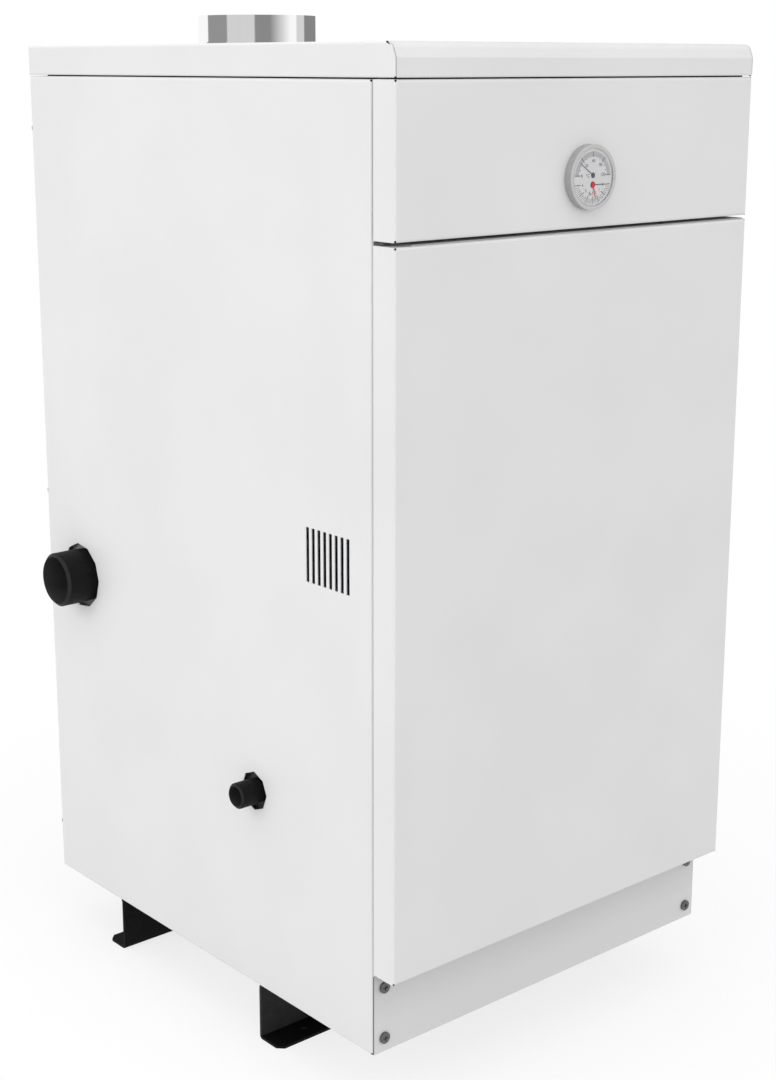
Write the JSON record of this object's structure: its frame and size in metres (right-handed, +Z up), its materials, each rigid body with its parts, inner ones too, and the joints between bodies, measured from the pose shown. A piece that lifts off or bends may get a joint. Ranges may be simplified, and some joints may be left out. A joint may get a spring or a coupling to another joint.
{
  "type": "gas boiler",
  "caption": "Floor-standing gas boiler: folded sheet-steel cabinet on channel feet, hinged door, dial gauge, round flue on top and pipe connections at the sides.",
  "frame": {"origin": "on the floor, under the middle of the bounding box", "axes": "+Z up, the door and the gauge face -Y, +X to the right seen from the front"},
  "size_m": [0.5346, 0.6102, 1.0381],
  "materials": {
    "white_enamel": "fine-grained powder coat, satin",
    "black_paint": "black primer, semi-matt",
    "dark_grey_paint": "dark grey paint, matt",
    "galvanised": "galvanised sheet, dull",
    "zinc_screws": "zinc plated",
    "black_foam": "matt foam strip",
    "flue_steel": "smooth aluminised sheet",
    "boiler_plate": "mill-scale steel plate",
    "stainless": "stainless sheet, heat tinted",
    "foil_wool": "mineral wool faced with foil",
    "brass_turned": "turned",
    "copper_tube": "drawn copper",
    "white_ceramic": "glazed ceramic",
    "cast_alloy": "die cast, blasted",
    "black_plastic": "moulded, matt",
    "red_plastic": "moulded, glossy",
    "gauge_steel": "satin grey",
    "clear_glass": "clear",
    "dial_white": "matt white print base",
    "pointer_slate": "matt slate",
    "pointer_red": "signal red"
  },
  "bodies": {
    "boiler": {"side_panel_left": "white_enamel", "side_panel_right": "white_enamel", "back_panel": "galvanised", "base_tray": "galvanised", "foot_front": "black_paint", "foot_rear": "black_paint", "foot_bolts": "zinc_screws", "plinth": "white_enamel", "casing_screws": "zinc_screws", "fascia_screws": "zinc_screws", "top_cover": "white_enamel", "cover_seal": "black_foam", "fascia": "white_enamel", "fascia_mount": "dark_grey_paint", "hinge_bracket_upper": "black_paint", "hinge_bracket_lower": "white_enamel", "hinge_pins": "zinc_screws", "magnet_catch": "black_plastic", "flue_stub": "flue_steel", "flue_hood": "galvanised", "draught_baffle": "galvanised", "cleaning_cover": "galvanised", "jacket_floor": "boiler_plate", "jacket_shell": "boiler_plate", "firebox": "boiler_plate", "upper_tube_plate": "boiler_plate", "flue_tubes": "boiler_plate", "turbulators": "stainless", "insulation_wrap": "foil_wool", "exchanger_stand": "galvanised", "heat_shield": "galvanised", "supply_stub": "black_paint", "return_stub": "black_paint", "burner_front_plate": "galvanised", "burner_rail": "galvanised", "burner_bar_1": "stainless", "burner_bar_2": "stainless", "burner_bar_3": "stainless", "burner_bar_4": "stainless", "gas_manifold": "boiler_plate", "nozzles": "brass_turned", "pilot_burner": "brass_turned", "thermocouple": "copper_tube", "ignition_electrode": "white_ceramic", "gas_inlet_stub": "black_paint", "gas_valve": "cast_alloy", "gauge_case": "gauge_steel", "gauge_bezel": "gauge_steel", "gauge_glass": "clear_glass", "gauge_dial": "dial_white", "gauge_capillaries": "copper_tube"},
    "door": {"door": "white_enamel", "door_stiffener": "galvanised", "door_seal": "dark_grey_paint"},
    "valve_knob": {"valve_knob": "black_plastic"},
    "igniter_button": {"igniter_button": "red_plastic"},
    "sight_flap": {"sight_flap": "galvanised"},
    "temperature_pointer": {"temperature_pointer": "pointer_slate"},
    "pressure_pointer": {"pressure_pointer": "pointer_slate"},
    "set_pointer": {"set_pointer": "pointer_red"}
  },
  "joints": [
    {"name": "door_hinge", "type": "hinge", "parent": "boiler", "child": "door", "pos_m": [-0.229, -0.2734, 0.462], "axis": [0, 0, -1], "range_deg": [0, 105]},
    {"name": "gas_valve_turn", "type": "hinge", "parent": "boiler", "child": "valve_knob", "pos_m": [-0.035, -0.142, 0.276], "axis": [0, -1, 0], "range_deg": [0, 270]},
    {"name": "igniter_press", "type": "slide", "parent": "boiler", "child": "igniter_button", "axis": [0, 1, 0], "range_m": [0, 0.005], "stiffness_N_per_m": 700, "springref_m": -0.004},
    {"name": "sight_flap_swing", "type": "hinge", "parent": "boiler", "child": "sight_flap", "pos_m": [0.072, -0.0183, 0.244], "axis": [0, 1, 0], "range_deg": [-70, 70]},
    {"name": "temperature_needle", "type": "hinge", "parent": "boiler", "child": "temperature_pointer", "pos_m": [0, -0.3037, 0.8873], "axis": [0, 1, 0], "range_deg": [-34, 146]},
    {"name": "pressure_needle", "type": "hinge", "parent": "boiler", "child": "pressure_pointer", "pos_m": [0, -0.3037, 0.8787], "axis": [0, 1, 0], "range_deg": [0, 180]},
    {"name": "set_needle", "type": "hinge", "parent": "boiler", "child": "set_pointer", "pos_m": [0, -0.3037, 0.8787], "axis": [0, 1, 0], "range_deg": [-73.5, 106.5]}
  ]
}
